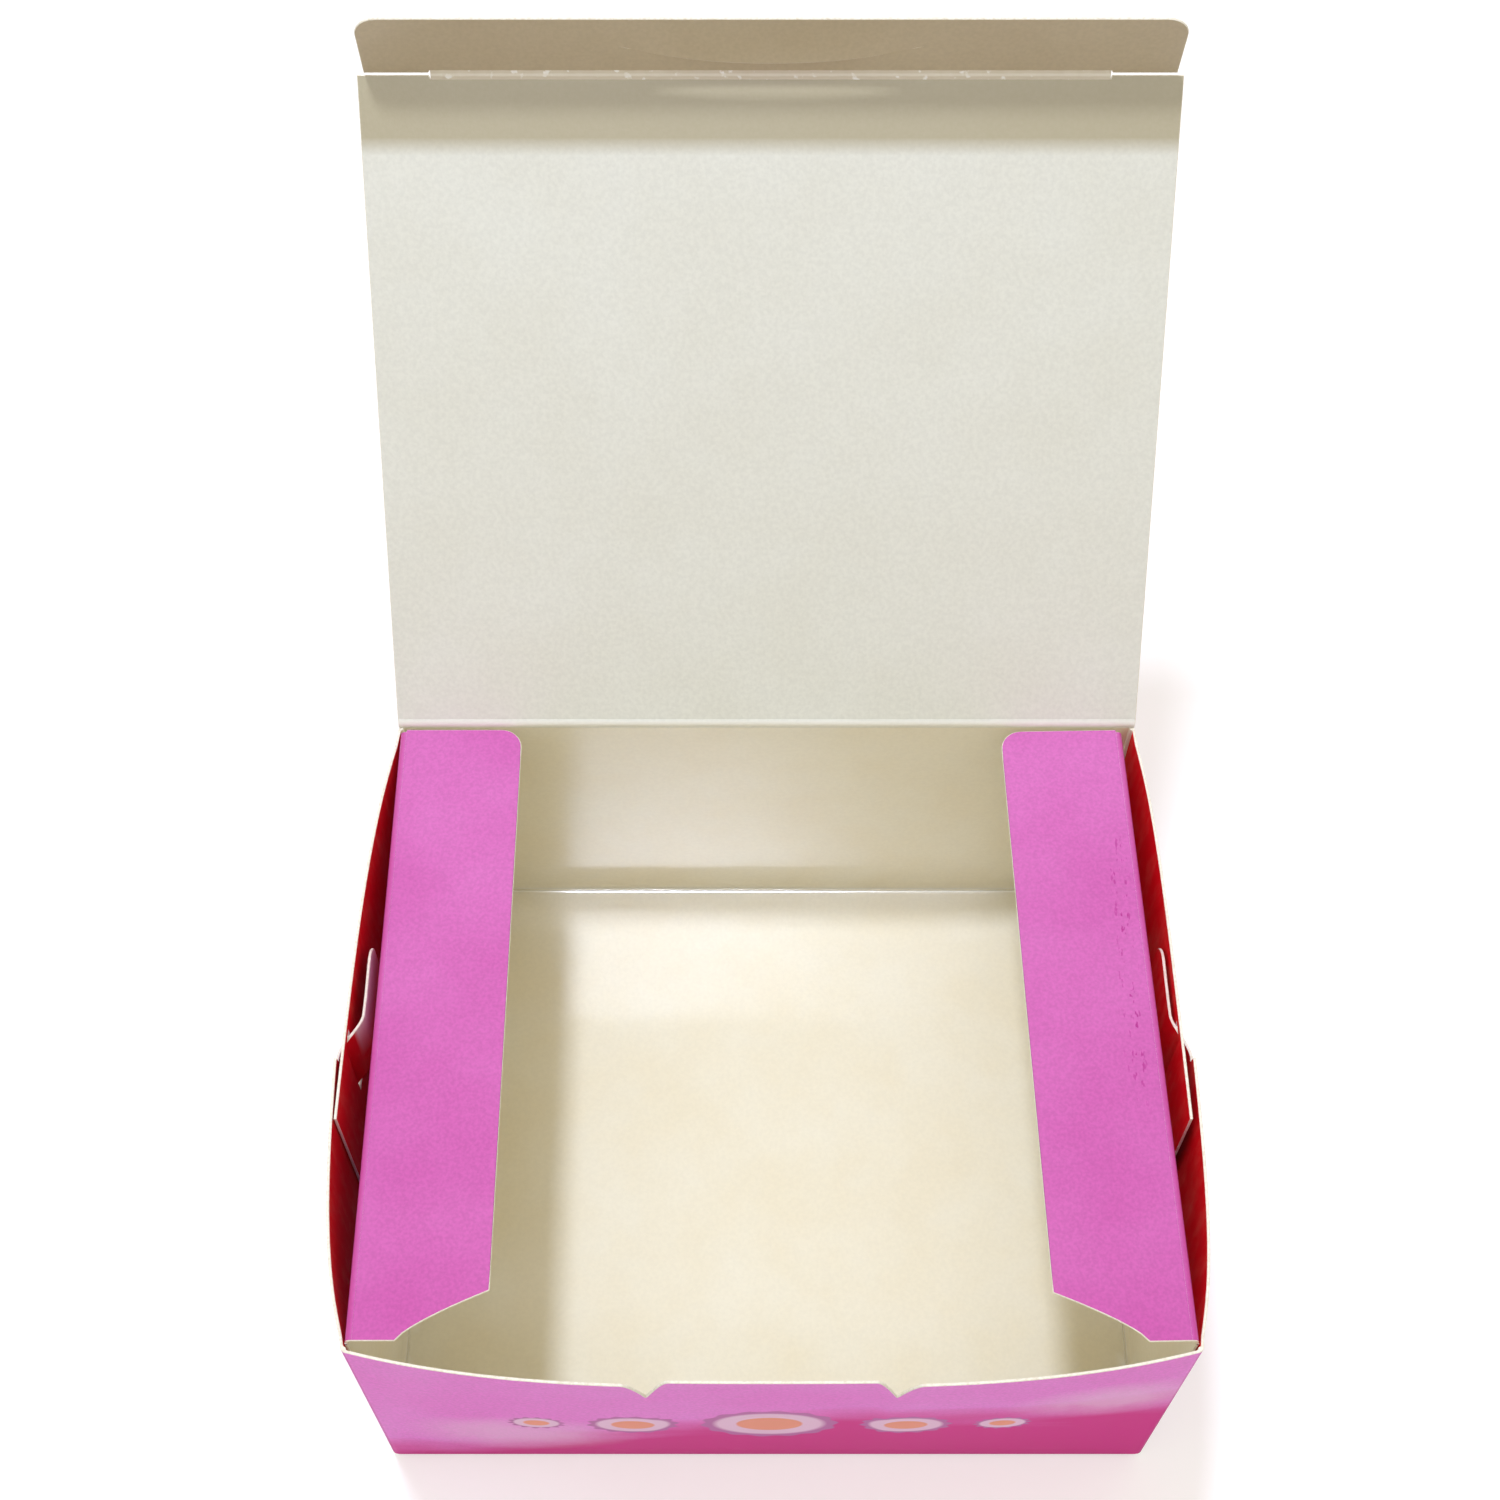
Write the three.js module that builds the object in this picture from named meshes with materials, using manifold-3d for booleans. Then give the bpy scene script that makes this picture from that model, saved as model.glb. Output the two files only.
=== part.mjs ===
// Cake slice box folded from one sheet of coated board, standing open.
// Millimetres, +Z up. The origin is the centre of the bottom panel's underside,
// +X runs along the width and +Y points to the wall that carries the lid.
import * as THREE from 'three';
import { mergeVertices } from 'three/addons/utils/BufferGeometryUtils.js';
import Module from 'manifold-3d';

const wasm = await Module();
wasm.setup();

const { degToRad, lerp, smoothstep } = THREE.MathUtils;

// Board and the closed box.
const board = 0.5;
const boxWidth = 140.6;
const boxDepth = 120.5;
const boxHeight = 67.3;

// Creases: each panel stops this far from the line that it folds about.
const creaseGap = 0.38;

// Front wall: its top edge is pushed out and has two lock notches.
const frontBow = 6;
const frontBowPower = 3;
const frontLeanPower = 1.2;
const frontWallDrop = 0.4;
const notchSpacing = 41.5;
const notchHalfWidth = 3.9;
const notchDepth = 10;
const notchPower = 1.8;
const centreTabInset = 0.7;

// Side walls, each with a dust flap on its top crease.
const sideEndGap = 1.6;
const sideCreaseDrop = 1;
const dustFlapWidth = 23;
const dustFlapBackGap = 0.6;
const dustFlapFrontGap = 1.4;
const dustFlapLeadIn = 8;
const dustFlapSlope = 8.4;
const dustFlapSlopePower = 0.75;
const dustFlapCorner = 4;

// End flaps: they turn the upright corners, stand bowed outside the side walls and lock together.
const frontFlapLength = 52;
const flapOverlap = 11;
const endFlapDrop = 0.5;
const endFlapFootGap = 0.9;
const endFlapTaper = 0.02;
const tongueLength = 24;
const tongueHeight = 17;
const tongueDrop = 2.4;
const tongueCorner = 4;
const tongueBend = 9;
const tongueShoulder = 0.4;
const flapRootInset = 0.12;
const lockSlitWidth = 3.6;
const lockSlitPlay = 0.5;

// Lid and its tuck flap, at the angles they spring back to when the box is left open.
const lidWidth = 140.4;
const lidLength = 119.2;
const lidAngle = 54.4;
const tuckPlay = 0.3;
const tuckDepth = 14;
const tuckAngle = 46;
const tuckCorner = 3;
const tongueSlitSpan = 51;
const tongueSlitSag = 2.4;
const tongueSlitWidth = 0.4;
const tongueSlitEndRise = 6.6;

// How finely bent panels are divided.
const frontWallRows = 5;
const curveSteps = 8;
const flapStep = 4;

// The two sides differ in how far their flaps spring out and how the wall top leans in at the back.
const sides = {
  left: {
    sign: -1,
    lean: 0,
    frontFlap: { reach: 6.6, run: 17 },
    backFlap: { reach: 5.4, run: 23 },
    tongueReach: 2.4,
  },
  right: {
    sign: 1,
    lean: 2.1,
    frontFlap: { reach: 4.8, run: 14 },
    backFlap: { reach: 2.95, run: 15 },
    tongueReach: 1.7,
  },
};

// Places that follow from the sizes above.
const halfBoard = board / 2;
const frontFace = -boxDepth / 2;
const backFace = boxDepth / 2;
const lidCreaseY = backFace - halfBoard;
const lidCreaseZ = boxHeight - halfBoard;
const dustCreaseZ = lidCreaseZ - sideCreaseDrop;
const sideWallFace = boxWidth / 2 - board;
const sideWallMid = sideWallFace - halfBoard;
const sideWallFront = frontFace + sideEndGap;
const sideWallBack = backFace - sideEndGap;
const endFlapTop = dustCreaseZ - halfBoard - endFlapDrop;
const backFlapLength = boxDepth - frontFlapLength + flapOverlap;
const tuckWidth = 2 * (sideWallMid - halfBoard - tuckPlay);

// Evenly spaced values from one end to the other.
function spread(from, to, steps) {
  return Array.from({ length: steps + 1 }, (unused, index) => lerp(from, to, index / steps));
}

// Evenly spaced values no further apart than the given step.
function spreadByStep(from, to, step) {
  return spread(from, to, Math.max(1, Math.ceil(Math.abs(to - from) / step)));
}

// A closed three.js geometry as a solid that can be joined and cut.
function toSolid(geometry) {
  const bare = geometry.clone();
  bare.deleteAttribute('normal');
  bare.deleteAttribute('uv');
  const merged = mergeVertices(bare);
  return new wasm.Manifold(new wasm.Mesh({
    numProp: 3,
    vertProperties: Float32Array.from(merged.attributes.position.array),
    triVerts: Uint32Array.from(merged.index.array),
  }));
}

// The solid's surface as a three.js geometry.
function toGeometry(solid) {
  const surface = solid.getMesh();
  const geometry = new THREE.BufferGeometry();
  geometry.setAttribute('position', new THREE.BufferAttribute(new Float32Array(surface.vertProperties), 3));
  geometry.setIndex(new THREE.BufferAttribute(new Uint32Array(surface.triVerts), 1));
  geometry.computeVertexNormals();
  return geometry;
}

// A flat panel: its cut outline given the board's thickness, centred on the drawing plane.
function flatPanel(outline) {
  const panel = new THREE.ExtrudeGeometry(outline, {
    depth: board,
    bevelEnabled: false,
    curveSegments: curveSteps,
  });
  return panel.translate(0, 0, -halfBoard);
}

// A rectangular outline from its low corner to its high corner.
function rectangle(lowX, lowY, highX, highY) {
  const outline = new THREE.Shape();
  outline.moveTo(lowX, lowY);
  outline.lineTo(highX, lowY);
  outline.lineTo(highX, highY);
  outline.lineTo(lowX, highY);
  outline.closePath();
  return outline;
}

// Direction square to a bent sheet at one point, from two short steps along it.
function sheetNormal(place, u, v) {
  const probe = 0.01;
  const along = place(u + probe, v).sub(place(u - probe, v));
  const across = place(u, v + probe).sub(place(u, v - probe));
  return along.cross(across).normalize();
}

// A bent panel: place(u, v) is its middle surface, cut between low(u) and high(u) at each station.
function bentPanel({ stations, rows, low, high, place }) {
  const faces = { front: [], back: [] };
  for (const u of stations) {
    for (const share of spread(0, 1, rows)) {
      const v = lerp(low(u), high(u), share);
      const shift = sheetNormal(place, u, v).multiplyScalar(halfBoard);
      faces.front.push(place(u, v).add(shift));
      faces.back.push(place(u, v).sub(shift));
    }
  }
  const points = [...faces.front, ...faces.back];
  const front = (station, row) => station * (rows + 1) + row;
  const back = (station, row) => faces.front.length + front(station, row);
  const index = [];
  const quad = (a, b, c, d) => index.push(a, b, c, a, c, d);
  const last = stations.length - 1;
  for (let i = 0; i < last; i += 1) {
    for (let j = 0; j < rows; j += 1) {
      quad(front(i, j), front(i + 1, j), front(i + 1, j + 1), front(i, j + 1));
      quad(back(i, j), back(i, j + 1), back(i + 1, j + 1), back(i + 1, j));
    }
    quad(back(i, 0), back(i + 1, 0), front(i + 1, 0), front(i, 0));
    quad(front(i, rows), front(i + 1, rows), back(i + 1, rows), back(i, rows));
  }
  for (let j = 0; j < rows; j += 1) {
    quad(back(0, j), front(0, j), front(0, j + 1), back(0, j + 1));
    quad(back(last, j), back(last, j + 1), front(last, j + 1), front(last, j));
  }
  const geometry = new THREE.BufferGeometry().setFromPoints(points);
  geometry.setIndex(index);
  return geometry;
}

// Bottom panel, lying flat between the feet of the four walls.
function bottomPanel() {
  const outline = rectangle(-sideWallMid, frontFace + halfBoard, sideWallMid, lidCreaseY);
  return flatPanel(outline).translate(0, 0, halfBoard);
}

// Back wall, up to the lid's crease.
function backWall() {
  const outline = rectangle(-boxWidth / 2, 0, boxWidth / 2, lidCreaseZ - creaseGap);
  return flatPanel(outline).rotateX(Math.PI / 2).translate(0, lidCreaseY, 0);
}

// Depth of the two lock notches below the front wall's top edge.
function notchCut(x) {
  const away = Math.abs(Math.abs(x) - notchSpacing / 2) / notchHalfWidth;
  return away < 1 ? notchDepth * (1 - away) ** notchPower : 0;
}

// Stations along the front wall, closer together across each notch.
function frontWallStations() {
  const half = boxWidth / 2;
  const notchStart = notchSpacing / 2 - notchHalfWidth;
  const notchEnd = notchSpacing / 2 + notchHalfWidth;
  const rightHalf = [
    ...spread(0, notchStart, 3),
    ...spread(notchStart, notchEnd, 2 * curveSteps).slice(1),
    ...spread(notchEnd, half, 2 * curveSteps).slice(1),
  ];
  const leftHalf = rightHalf.slice(1).map((x) => -x).reverse();
  return [...leftHalf, ...rightHalf];
}

// Front wall, straight along its foot and bowed out towards its notched top edge.
function frontWall() {
  const top = boxHeight - frontWallDrop;
  return bentPanel({
    stations: frontWallStations(),
    rows: frontWallRows,
    low: () => 0,
    high: (x) => top - notchCut(x),
    place: (x, z) => {
      const across = 1 - Math.min(1, Math.abs(2 * x / boxWidth)) ** frontBowPower;
      const tab = 1 - smoothstep(Math.abs(x), notchSpacing / 2 - notchHalfWidth, notchSpacing / 2);
      const bow = (frontBow * across - centreTabInset * tab) * riseShare(z, top) ** frontLeanPower;
      return new THREE.Vector3(x, frontFace + halfBoard - bow, z);
    },
  });
}

// How far up a wall a point is, from the bottom panel to the wall's top edge.
function riseShare(z, top) {
  return Math.max(0, (z - board) / (top - board));
}

// Side wall, upright at the front and leaning in at the top towards the back.
function sideWall({ sign, lean }) {
  const top = dustCreaseZ - creaseGap;
  return bentPanel({
    stations: spread(sideWallFront, sideWallBack, curveSteps),
    rows: 4,
    low: () => 0,
    high: () => top,
    place: (y, z) => {
      const back = (y - sideWallFront) / (sideWallBack - sideWallFront);
      const inward = lean * back * riseShare(z, top);
      return new THREE.Vector3(sign * (sideWallMid - inward), y, z);
    },
  });
}

// How far an end flap has sprung away from its side wall, at a distance from its corner.
function spring({ reach, run }, distance) {
  return reach * (1 - Math.exp(-Math.max(0, distance) / run));
}

// A point on an end flap: so far out, along the side and up.
function besideWall({ sign }, outward, y, z) {
  return new THREE.Vector3(sign * (boxWidth / 2 - halfBoard - flapRootInset + outward), y, z);
}

// How far out the lock tongue lies, as it dips from outside the back flap to inside it.
function tongueOutward(side, along) {
  const outside = spring(side.frontFlap, Math.min(along, frontFlapLength));
  const dip = smoothstep(along, frontFlapLength, frontFlapLength + tongueBend);
  return lerp(outside, side.tongueReach, dip);
}

// Front end flap, turned back from the front wall's upright edge, with the lock tongue at its end.
function frontEndFlap(side) {
  const tongueTop = endFlapTop - tongueDrop;
  const shoulder = frontFlapLength + tongueShoulder;
  const bendEnd = frontFlapLength + tongueBend;
  const tip = frontFlapLength + tongueLength;
  const rounded = (along) => {
    const past = Math.max(0, along - (tip - tongueCorner));
    return tongueCorner - Math.sqrt(Math.max(0, tongueCorner ** 2 - past ** 2));
  };
  const onFlap = (along) => along <= frontFlapLength;
  return bentPanel({
    stations: [
      ...spreadByStep(halfBoard, frontFlapLength, flapStep),
      ...spread(shoulder, bendEnd, curveSteps),
      tip - tongueCorner,
      ...spread(tip - tongueCorner, tip, curveSteps / 2).slice(1),
    ],
    rows: 1,
    low: (along) => (
      onFlap(along) ? endFlapFootGap + endFlapTaper * along : tongueTop - tongueHeight + rounded(along)
    ),
    high: (along) => (onFlap(along) ? endFlapTop : tongueTop - rounded(along)),
    place: (along, z) => besideWall(side, tongueOutward(side, along), frontFace + along, z),
  });
}

// Where along the side the tongue passes through the back flap.
function lockSlitAt(side) {
  const stations = spread(frontFlapLength, frontFlapLength + tongueBend, 10 * curveSteps);
  const through = stations.find((along) => (
    tongueOutward(side, along) <= spring(side.backFlap, boxDepth - along)
  ));
  return through ?? frontFlapLength + tongueBend / 2;
}

// Back end flap, turned forward from the back wall's upright edge, with the lock slit cut through.
function backEndFlap(side) {
  const flap = bentPanel({
    stations: spreadByStep(halfBoard, backFlapLength, flapStep),
    rows: 1,
    low: (along) => endFlapFootGap + endFlapTaper * along,
    high: () => endFlapTop,
    place: (along, z) => besideWall(side, spring(side.backFlap, along), backFace - along, z),
  });
  const reach = side.backFlap.reach;
  const slit = new THREE.BoxGeometry(2 * reach + board, lockSlitWidth, tongueHeight + 2 * lockSlitPlay);
  const middle = endFlapTop - tongueDrop - tongueHeight / 2;
  const centre = besideWall(side, reach, frontFace + lockSlitAt(side), middle);
  slit.translate(centre.x, centre.y, centre.z);
  return toSolid(flap).subtract(toSolid(slit));
}

// The tray: the bottom, four walls and four locked end flaps of the one folded sheet.
function tray() {
  let solid = toSolid(bottomPanel());
  solid = solid.add(toSolid(backWall()));
  solid = solid.add(toSolid(frontWall()));
  for (const side of Object.values(sides)) {
    solid = solid.add(toSolid(sideWall(side)));
    solid = solid.add(toSolid(frontEndFlap(side)));
    solid = solid.add(backEndFlap(side));
  }
  return toGeometry(solid);
}

// Lid panel, drawn from its crease outwards.
function lidPanel() {
  return flatPanel(rectangle(-lidWidth / 2, creaseGap, lidWidth / 2, lidLength - creaseGap));
}

// Tuck flap: a strip with rounded free corners and a shallow curved slit near its middle.
function tuckFlap() {
  const half = tuckWidth / 2;
  const outline = new THREE.Shape();
  outline.moveTo(-half, creaseGap);
  outline.lineTo(half, creaseGap);
  outline.lineTo(half, tuckDepth - tuckCorner);
  outline.absarc(half - tuckCorner, tuckDepth - tuckCorner, tuckCorner, 0, Math.PI / 2);
  outline.lineTo(-half + tuckCorner, tuckDepth);
  outline.absarc(-half + tuckCorner, tuckDepth - tuckCorner, tuckCorner, Math.PI / 2, Math.PI);
  outline.closePath();
  return toGeometry(toSolid(flatPanel(outline)).subtract(toSolid(tongueSlit())));
}

// The curved slit: a thin bow that runs right through the tuck flap.
function tongueSlit() {
  const half = tongueSlitSpan / 2;
  const bowed = (x) => tongueSlitEndRise - tongueSlitSag * (1 - (x / half) ** 2);
  const outline = new THREE.Shape();
  const stations = spread(-half, half, 2 * curveSteps);
  outline.moveTo(stations[0], bowed(stations[0]) - tongueSlitWidth / 2);
  stations.slice(1).forEach((x) => outline.lineTo(x, bowed(x) - tongueSlitWidth / 2));
  stations.reverse().forEach((x) => outline.lineTo(x, bowed(x) + tongueSlitWidth / 2));
  outline.closePath();
  const cutter = new THREE.ExtrudeGeometry(outline, { depth: 4 * board, bevelEnabled: false });
  return cutter.translate(0, 0, -2 * board);
}

// Dust flap, drawn inwards from its crease: sloped at the front, rounded at the back.
function dustFlap(inward) {
  const length = boxDepth - board - sideEndGap - dustFlapBackGap;
  const slopeStart = dustFlapFrontGap - sideEndGap + board;
  const sloped = dustFlapWidth - dustFlapLeadIn;
  const outline = new THREE.Shape();
  outline.moveTo(inward * creaseGap, slopeStart);
  for (const share of spread(0, 1, curveSteps)) {
    const across = dustFlapLeadIn + sloped * share;
    outline.lineTo(inward * across, slopeStart + dustFlapSlope * share ** dustFlapSlopePower);
  }
  outline.lineTo(inward * dustFlapWidth, length - dustFlapCorner);
  outline.quadraticCurveTo(inward * dustFlapWidth, length, inward * (dustFlapWidth - dustFlapCorner), length);
  outline.lineTo(inward * creaseGap, length);
  outline.closePath();
  return flatPanel(outline);
}

// Coated board: printed rose pink outside and on the dust flaps, cream inside.
function boardFinish(color) {
  return new THREE.MeshStandardMaterial({ color, roughness: 0.35, metalness: 0, flatShading: true });
}

// One named piece of the box.
function piece(name, geometry, color) {
  const mesh = new THREE.Mesh(geometry, boardFinish(color));
  mesh.name = name;
  return mesh;
}

const printedPink = 0xe070c0;
const creamInside = 0xf0ead2;

const cakeSliceBox = new THREE.Group();
cakeSliceBox.add(piece('tray', tray(), printedPink));

const lidHinge = new THREE.Group();
lidHinge.position.set(0, lidCreaseY, lidCreaseZ);
lidHinge.rotation.x = degToRad(lidAngle);
lidHinge.add(piece('lid_panel', lidPanel(), creamInside));
cakeSliceBox.add(lidHinge);

const tuckHinge = new THREE.Group();
tuckHinge.position.set(0, lidLength, 0);
tuckHinge.rotation.x = degToRad(tuckAngle);
tuckHinge.add(piece('tuck_flap', tuckFlap(), creamInside));
lidHinge.add(tuckHinge);

for (const [name, { sign, lean }] of Object.entries(sides)) {
  const flapHinge = new THREE.Group();
  flapHinge.position.set(sign * sideWallMid, sideWallFront, dustCreaseZ);
  flapHinge.rotation.z = Math.atan2(sign * lean, sideWallBack - sideWallFront);
  flapHinge.add(piece(`${name}_dust_flap`, dustFlap(-sign), printedPink));
  cakeSliceBox.add(flapHinge);
}

export default cakeSliceBox;
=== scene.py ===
import math
import bpy
import bmesh
import numpy as np
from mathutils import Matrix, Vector


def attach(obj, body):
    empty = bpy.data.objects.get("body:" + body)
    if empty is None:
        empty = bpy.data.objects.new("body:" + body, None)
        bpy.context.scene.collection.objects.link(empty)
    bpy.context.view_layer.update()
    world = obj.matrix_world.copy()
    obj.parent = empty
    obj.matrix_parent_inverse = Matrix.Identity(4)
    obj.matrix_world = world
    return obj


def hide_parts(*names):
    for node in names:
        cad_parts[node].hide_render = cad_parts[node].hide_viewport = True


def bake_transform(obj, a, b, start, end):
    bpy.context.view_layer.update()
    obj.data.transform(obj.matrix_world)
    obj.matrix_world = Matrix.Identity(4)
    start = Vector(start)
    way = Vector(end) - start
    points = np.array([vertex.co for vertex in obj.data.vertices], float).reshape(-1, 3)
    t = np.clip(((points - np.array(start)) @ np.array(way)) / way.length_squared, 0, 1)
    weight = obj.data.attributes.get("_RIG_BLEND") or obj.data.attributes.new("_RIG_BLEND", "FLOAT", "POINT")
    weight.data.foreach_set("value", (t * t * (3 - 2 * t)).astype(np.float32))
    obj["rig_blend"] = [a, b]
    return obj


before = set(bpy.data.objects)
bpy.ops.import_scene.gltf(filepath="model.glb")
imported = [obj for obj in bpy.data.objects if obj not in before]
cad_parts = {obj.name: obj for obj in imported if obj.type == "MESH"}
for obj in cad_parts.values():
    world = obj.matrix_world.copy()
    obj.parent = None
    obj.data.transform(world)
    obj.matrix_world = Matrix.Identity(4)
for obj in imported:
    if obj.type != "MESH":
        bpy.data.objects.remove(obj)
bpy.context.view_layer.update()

# The tray: bottom, four walls and four locked end flaps, all folded from one sheet of coated board.
# The board is half a millimetre thick, printed pink outside and cream inside. It is cut and creased
# flat, folded up, and held by a tongue in a slit on each side, with no glue.
mm = 0.001
board = 0.5 * mm
half_board = board / 2
box_width = 140.6 * mm
box_depth = 120.5 * mm
box_height = 67.3 * mm
front_face = -box_depth / 2
wall_mid_y = box_depth / 2 - half_board
front_half = box_width / 2 - half_board
flap_root_inset = 0.25 * mm
side_mid = box_width / 2 - board - half_board
side_end = box_depth / 2 - 1.6 * mm
lid_crease_z = box_height - half_board
dust_crease_z = lid_crease_z - 1 * mm
front_top = box_height - 0.4 * mm
flap_top = dust_crease_z - half_board - 0.5 * mm
fold_radius = 0.85 * mm
fold_steps = 12
crease_reach = 1.0 * mm
bead_height = 0.32 * mm
bead_reach = 0.45 * mm
edge_round = 0.13 * mm
bump_depth = 0.06 * mm
front_bow = 6 * mm
centre_tab_inset = 0.7 * mm
notch_centre = 20.75 * mm
notch_half_width = 3.9 * mm
notch_depth = 10 * mm
front_flap_length = 52 * mm
back_flap_length = 79.5 * mm
tongue_length = 24 * mm
tongue_height = 17 * mm
tongue_top = flap_top - 2.4 * mm
tongue_corner = 4 * mm
tongue_bend = 9 * mm
slit_width = 3.6 * mm
slit_play = 0.5 * mm
foot_at_slit = 2.2 * mm
# On each side: which way it lies, how far its wall leans in at the back, how far its front and back
# end flaps spring out and over what run, and how far out the tongue comes to lie in its slit.
sides = {
    "left": {
        "sign": -1, "lean": 0,
        "front": (6.6 * mm, 17 * mm), "back": (5.4 * mm, 23 * mm), "tongue": 2.4 * mm,
    },
    "right": {
        "sign": 1, "lean": 2.1 * mm,
        "front": (4.8 * mm, 14 * mm), "back": (2.95 * mm, 15 * mm), "tongue": 1.7 * mm,
    },
}
CREAM_INSIDE, PRINT_INSIDE = 0, 3


def smooth(value, low, high):
    share = np.clip((value - low) / (high - low), 0, 1)
    return share * share * (3 - 2 * share)


def add_grid(sheet, points, crease=None, finish=CREAM_INSIDE, skip=(), joined=None):
    """Adds a grid of middle-surface points to the sheet, with how creased each row or column is.
    Points for which joined is true meet another piece, so no cut edge shows along them."""
    creased = sheet.verts.layers.float.get("crease") or sheet.verts.layers.float.new("crease")
    meets = sheet.verts.layers.int.get("meets") or sheet.verts.layers.int.new("meets")
    columns, rows = len(points), len(points[0])
    verts = [[sheet.verts.new(point) for point in column] for column in points]
    for i in range(columns):
        for j in range(rows):
            verts[i][j][creased] = crease(i, j) if crease else 0
            verts[i][j][meets] = bool(joined(i, j)) if joined else False
    for i in range(columns - 1):
        for j in range(rows - 1):
            if (i, j) not in skip:
                face = sheet.faces.new((verts[i][j], verts[i + 1][j], verts[i + 1][j + 1], verts[i][j + 1]))
                face.material_index = finish(i) if callable(finish) else finish


def give_thickness(name, sheet, at, outward, finishes, bead=0):
    """Turns a middle surface into board: an outer and an inner face, and a softened cut edge."""
    bmesh.ops.remove_doubles(sheet, verts=sheet.verts, dist=0.01 * mm)
    bmesh.ops.recalc_face_normals(sheet, faces=sheet.faces)
    nearest = min(sheet.faces, key=lambda face: (face.calc_center_median() - Vector(at)).length)
    if nearest.normal.dot(Vector(outward)) < 0:
        bmesh.ops.reverse_faces(sheet, faces=sheet.faces)
    sheet.normal_update()
    sheet.verts.index_update()
    creased = sheet.verts.layers.float["crease"]
    meets = sheet.verts.layers.int["meets"]
    inset = {}
    edges = []
    for face in sheet.faces:
        for loop in face.loops:
            if loop.edge.is_boundary:
                a, b = loop.vert, loop.link_loop_next.vert
                free = not (a[meets] and b[meets])
                edges.append((a.index, b.index, face.material_index, free))
                if free:
                    towards = (a.normal + b.normal).cross(b.co - a.co).normalized()
                    for vert in (a, b):
                        inset[vert.index] = inset.get(vert.index, Vector()) + towards
    points, outer, inner, rim = [], [], [], {}
    creases = []
    for vert in sheet.verts:
        step = inset.get(vert.index, Vector())
        if step.length > 1.2:
            step = step * 2 / step.length_squared
        step = step * edge_round
        outer.append(len(points))
        inner.append(len(points) + 1)
        points += [vert.co + vert.normal * half_board + step]
        points += [vert.co - vert.normal * (half_board + bead * vert[creased]) + step]
        if vert.index in inset:
            rim[vert.index] = (len(points), len(points) + 1)
            points += [vert.co + vert.normal * (half_board - edge_round)]
            points += [vert.co - vert.normal * (half_board - edge_round)]
        creases += [vert[creased]] * (len(points) - len(creases))
    faces, slots = [], []
    for face in sheet.faces:
        ring = [vert.index for vert in face.verts]
        faces += [[outer[index] for index in ring], [inner[index] for index in reversed(ring)]]
        slots += [face.material_index, face.material_index + 1]
    for a, b, finish, free in edges:
        levels = [(outer[a], outer[b])]
        if free:
            levels += [(rim[a][0], rim[b][0]), (rim[a][1], rim[b][1])]
        levels.append((inner[a], inner[b]))
        for (upper_a, upper_b), (lower_a, lower_b) in zip(levels, levels[1:]):
            faces.append([upper_b, upper_a, lower_a, lower_b])
            slots.append(finish + 2)
    mesh = bpy.data.meshes.new(name)
    mesh.from_pydata([tuple(point) for point in points], [], faces)
    mesh.polygons.foreach_set("material_index", slots)
    mesh.polygons.foreach_set("use_smooth", [True] * len(faces))
    mesh.attributes.new("crease", "FLOAT", "POINT").data.foreach_set("value", creases)
    for material in finishes:
        mesh.materials.append(material)
    mesh.validate()
    mesh.set_sharp_from_angle(angle=math.radians(40))
    sheet.free()
    piece = bpy.data.objects.new(name, mesh)
    bpy.context.scene.collection.objects.link(piece)
    return piece


def shader_tree(name):
    """A new material, its Principled shader, and a short way to add and join nodes."""
    material = bpy.data.materials.new(name)
    material.use_nodes = True
    tree = material.node_tree
    shader = tree.nodes["Principled BSDF"]

    def add(kind, inputs=(), **settings):
        node = tree.nodes.new(kind)
        for key, value in settings.items():
            setattr(node, key, value)
        for socket, value in dict(inputs).items():
            if isinstance(value, bpy.types.NodeSocket):
                tree.links.new(value, node.inputs[socket])
            else:
                node.inputs[socket].default_value = value
        return node

    return material, tree, shader, add


def colour_mix(add, factor, low, high, blend="MIX"):
    """A colour between two others, each a colour or another node's output."""
    mix = add("ShaderNodeMix", data_type="RGBA", blend_type=blend)
    for socket, value in ((mix.inputs[0], factor), (mix.inputs[6], low), (mix.inputs[7], high)):
        if isinstance(value, bpy.types.NodeSocket):
            mix.id_data.links.new(value, socket)
        else:
            socket.default_value = value
    return mix.outputs[2]


def stretch(add, value, low, high, to_low=0.0, to_high=1.0):
    """A value moved from one range to another, and held inside it."""
    return add("ShaderNodeMapRange", {0: value, 1: low, 2: high, 3: to_low, 4: to_high}).outputs[0]


def noise(add, coords, scale, detail=0, roughness=0.5):
    """A soft uneven pattern, from 0 to 1."""
    inputs = {"Vector": coords, "Scale": scale, "Detail": detail, "Roughness": roughness}
    return add("ShaderNodeTexNoise", inputs).outputs[0]


def times(add, a, b):
    return add("ShaderNodeMath", {0: a, 1: b}, operation="MULTIPLY").outputs[0]


def darkened(add, tone, share):
    """A colour with only a share of its light."""
    grey = add("ShaderNodeCombineColor", {0: share, 1: share, 2: share}).outputs[0]
    return colour_mix(add, 1.0, tone, grey, "MULTIPLY")


def specks(add, coords, scale, core, rim, chance):
    """Small round specks, of which only a few are chosen to show."""
    cells = add("ShaderNodeTexVoronoi", {"Vector": coords, "Scale": scale})
    near = stretch(add, cells.outputs["Distance"], core, rim, 1.0, 0.0)
    chosen = add("ShaderNodeSeparateColor", {0: cells.outputs["Color"]}).outputs[0]
    return times(add, near, stretch(add, chosen, *chance))


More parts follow.
